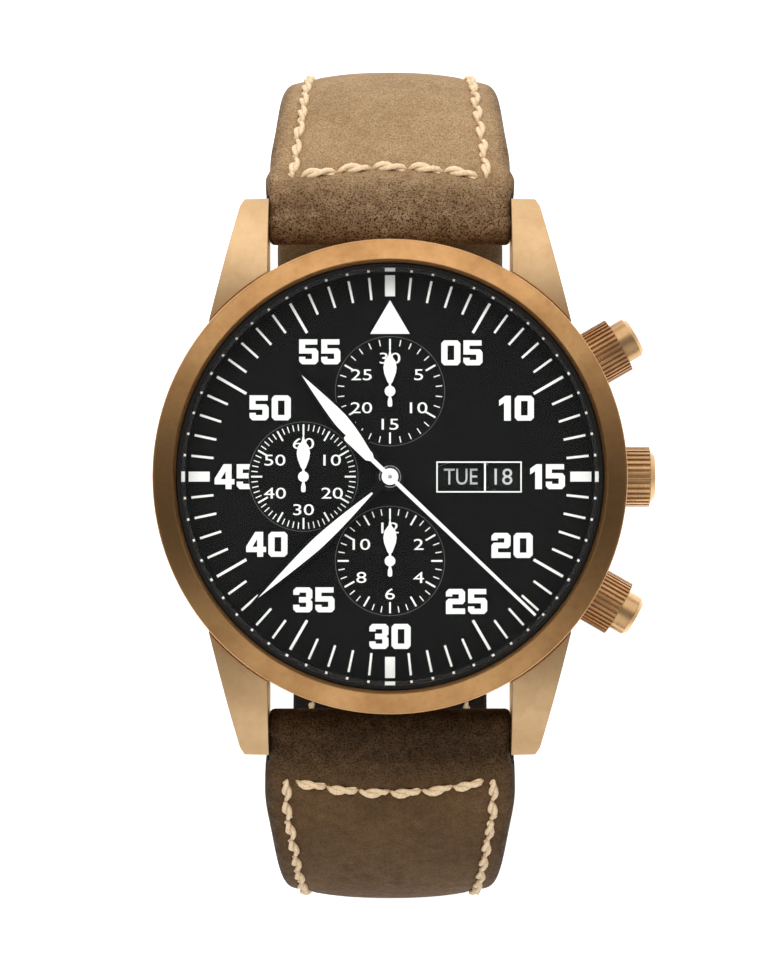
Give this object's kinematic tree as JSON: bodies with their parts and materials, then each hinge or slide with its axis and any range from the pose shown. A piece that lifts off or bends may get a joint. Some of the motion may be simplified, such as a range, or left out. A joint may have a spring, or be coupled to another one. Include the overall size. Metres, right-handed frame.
{
  "type": "chronograph wristwatch",
  "caption": "Automatic chronograph wristwatch with bronze case, day-date dial, screw-down pushers, open case back and a padded leather strap buckled in its loop.",
  "frame": {"origin": "centre of the case back's flat rear face, on the axis of the dial", "axes": "+Z from the case back through the dial, +Y towards 12 o'clock, +X towards the crown at 3 o'clock"},
  "size_m": [0.0455, 0.0809, 0.0595],
  "materials": {
    "bronze_case": "brushed",
    "bronze_polished": "polished",
    "bronze_dark": "satin",
    "sapphire": "polished",
    "gasket": "matt",
    "dial_black": "matt",
    "hand_dark": "gloss",
    "hand_white": "matt",
    "lume": "matt",
    "steel": "satin",
    "nickel_plate": "striped",
    "brass_gilt": "satin",
    "blued_steel": "gloss",
    "ruby": "polished",
    "leather_tan": "nubuck",
    "leather_brown": "nubuck",
    "leather_lining": "smooth"
  },
  "bodies": {
    "case": {"case_middle": "bronze_case", "bezel": "bronze_polished", "crystal": "sapphire", "crystal_gasket": "gasket", "rehaut": "dial_black", "dial": "dial_black", "case_back": "bronze_case", "back_crystal": "sapphire", "case_back_gasket": "gasket", "crown_tube": "bronze_case", "pusher_tubes": "bronze_case", "movement_ring": "steel", "main_plate": "nickel_plate", "train_bridge": "nickel_plate", "pallet_bridge": "nickel_plate", "balance_cock": "nickel_plate", "automatic_bridge": "nickel_plate", "hairspring": "blued_steel", "rotor_bearing": "steel", "movement_screws": "blued_steel", "jewels": "ruby", "strap_twelve": "leather_tan", "lining_twelve": "leather_lining", "strap_six": "leather_brown", "lining_six": "leather_lining", "fixed_keeper": "leather_brown", "spring_bars": "steel"},
    "minute": {"minute_hand": "hand_dark", "minute_lume": "lume", "cannon_pinion": "steel", "centre_wheel": "brass_gilt"},
    "hour": {"hour_hand": "hand_dark", "hour_lume": "lume", "hour_wheel": "brass_gilt"},
    "minute_work": {"minute_wheel": "brass_gilt"},
    "mainspring_barrel": {"barrel": "brass_gilt"},
    "winding_ratchet": {"ratchet_wheel": "steel"},
    "third": {"third_wheel": "brass_gilt"},
    "fourth": {"fourth_wheel": "brass_gilt", "running_seconds_hand": "hand_white"},
    "escape": {"escape_wheel": "steel"},
    "lever": {"pallet_fork": "steel"},
    "balance": {"balance_wheel": "brass_gilt"},
    "chrono": {"chrono_seconds_hand": "hand_white", "chrono_runner": "brass_gilt"},
    "minute_counter": {"minute_counter_hand": "hand_white"},
    "hour_counter": {"hour_counter_hand": "hand_white"},
    "day": {"day_disc": "dial_black"},
    "date": {"date_ring": "dial_black"},
    "winding_rotor": {"rotor": "nickel_plate"},
    "wind_pinion": {"winding_pinion": "steel"},
    "crown_and_stem": {"crown": "bronze_polished", "winding_stem": "steel"},
    "push_upper": {"upper_pusher": "bronze_polished"},
    "push_lower": {"lower_pusher": "bronze_polished"},
    "lock_upper": {"upper_collar": "bronze_dark"},
    "lock_lower": {"lower_collar": "bronze_dark"},
    "buckle": {"buckle_frame": "bronze_case"},
    "tongue": {"buckle_tongue": "bronze_polished"},
    "keeper": {"free_keeper": "leather_brown"}
  },
  "joints": [
    {"name": "minute_turn", "type": "hinge", "parent": "case", "child": "minute", "pos_m": [0, 0, 0], "axis": [0, 0, 1], "continuous": true},
    {"name": "hour_turn", "type": "hinge", "parent": "case", "child": "hour", "pos_m": [0, 0, 0], "axis": [0, 0, 1], "continuous": true},
    {"name": "minute_work_turn", "type": "hinge", "parent": "case", "child": "minute_work", "pos_m": [-0.00325, 0.00187, 0], "axis": [0, 0, 1], "continuous": true},
    {"name": "barrel_turn", "type": "hinge", "parent": "case", "child": "mainspring_barrel", "pos_m": [-0.00358, 0.00511, 0], "axis": [0, 0, 1], "continuous": true},
    {"name": "ratchet_turn", "type": "hinge", "parent": "case", "child": "winding_ratchet", "pos_m": [-0.00358, 0.00511, 0], "axis": [0, 0, 1], "continuous": true},
    {"name": "third_turn", "type": "hinge", "parent": "case", "child": "third", "pos_m": [-0.00412, -0.00131, 0], "axis": [0, 0, 1], "continuous": true},
    {"name": "fourth_turn", "type": "hinge", "parent": "case", "child": "fourth", "pos_m": [-0.0078, 0, 0], "axis": [0, 0, 1], "continuous": true},
    {"name": "escape_turn", "type": "hinge", "parent": "case", "child": "escape", "pos_m": [-0.0078, -0.00387, 0], "axis": [0, 0, 1], "continuous": true},
    {"name": "lever_rock", "type": "hinge", "parent": "case", "child": "lever", "pos_m": [-0.00543, -0.0059, 0], "axis": [0, 0, 1], "range_deg": [-4, 4]},
    {"name": "balance_swing", "type": "hinge", "parent": "case", "child": "balance", "pos_m": [-0.00232, -0.00857, 0], "axis": [0, 0, 1], "range_deg": [-270, 270]},
    {"name": "chrono_turn", "type": "hinge", "parent": "case", "child": "chrono", "pos_m": [0, 0, 0], "axis": [0, 0, 1], "continuous": true},
    {"name": "minute_counter_turn", "type": "hinge", "parent": "case", "child": "minute_counter", "pos_m": [0, 0.0077, 0], "axis": [0, 0, 1], "continuous": true},
    {"name": "hour_counter_turn", "type": "hinge", "parent": "case", "child": "hour_counter", "pos_m": [0, -0.0076, 0], "axis": [0, 0, 1], "continuous": true},
    {"name": "day_turn", "type": "hinge", "parent": "case", "child": "day", "pos_m": [0.0068, -0.0046, 0], "axis": [0, 0, 1], "continuous": true},
    {"name": "date_turn", "type": "hinge", "parent": "case", "child": "date", "pos_m": [0, 0, 0], "axis": [0, 0, 1], "continuous": true},
    {"name": "rotor_turn", "type": "hinge", "parent": "case", "child": "winding_rotor", "pos_m": [0, 0, 0], "axis": [0, 0, 1], "continuous": true},
    {"name": "crown_turn", "type": "hinge", "parent": "case", "child": "wind_pinion", "pos_m": [0, 0, 0.0055], "axis": [1, 0, 0], "continuous": true},
    {"name": "crown_pull", "type": "slide", "parent": "wind_pinion", "child": "crown_and_stem", "axis": [1, 0, 0], "range_m": [0, 0.002]},
    {"name": "upper_press", "type": "slide", "parent": "case", "child": "push_upper", "axis": [-0.866, -0.5, 0], "range_m": [0, 0.001], "stiffness_N_per_m": 1500},
    {"name": "lower_press", "type": "slide", "parent": "case", "child": "push_lower", "axis": [-0.866, 0.5, 0], "range_m": [0, 0.001], "stiffness_N_per_m": 1500},
    {"name": "upper_collar_turn", "type": "hinge", "parent": "case", "child": "lock_upper", "pos_m": [0, 0, 0.0055], "axis": [0.866, 0.5, 0], "range_deg": [-90, 0]},
    {"name": "lower_collar_turn", "type": "hinge", "parent": "case", "child": "lock_lower", "pos_m": [0, 0, 0.0055], "axis": [0.866, -0.5, 0], "range_deg": [-90, 0]},
    {"name": "buckle_swing", "type": "hinge", "parent": "case", "child": "buckle", "pos_m": [0, 0.005, -0.0399], "axis": [1, 0, 0], "range_deg": [0, 3.5]},
    {"name": "tongue_swing", "type": "hinge", "parent": "buckle", "child": "tongue", "pos_m": [0, 0.005, -0.0399], "axis": [1, 0, 0], "range_deg": [0, 3.5]},
    {"name": "keeper_slide", "type": "hinge", "parent": "case", "child": "keeper", "pos_m": [0, 0.01561, -0.01727], "axis": [1, 0, 0], "range_deg": [-6, 8]}
  ],
  "couplings": [
    {"joint": "hour_turn", "follows": "minute_turn", "ratio": 0.083333},
    {"joint": "minute_work_turn", "follows": "minute_turn", "ratio": -0.33333},
    {"joint": "barrel_turn", "follows": "minute_turn", "ratio": -0.14286},
    {"joint": "third_turn", "follows": "minute_turn", "ratio": -8},
    {"joint": "fourth_turn", "follows": "minute_turn", "ratio": 60},
    {"joint": "escape_turn", "follows": "minute_turn", "ratio": -720},
    {"joint": "minute_counter_turn", "follows": "chrono_turn", "ratio": 0.033333},
    {"joint": "hour_counter_turn", "follows": "chrono_turn", "ratio": 0.0013889},
    {"joint": "ratchet_turn", "follows": "rotor_turn", "ratio": -0.008}
  ]
}
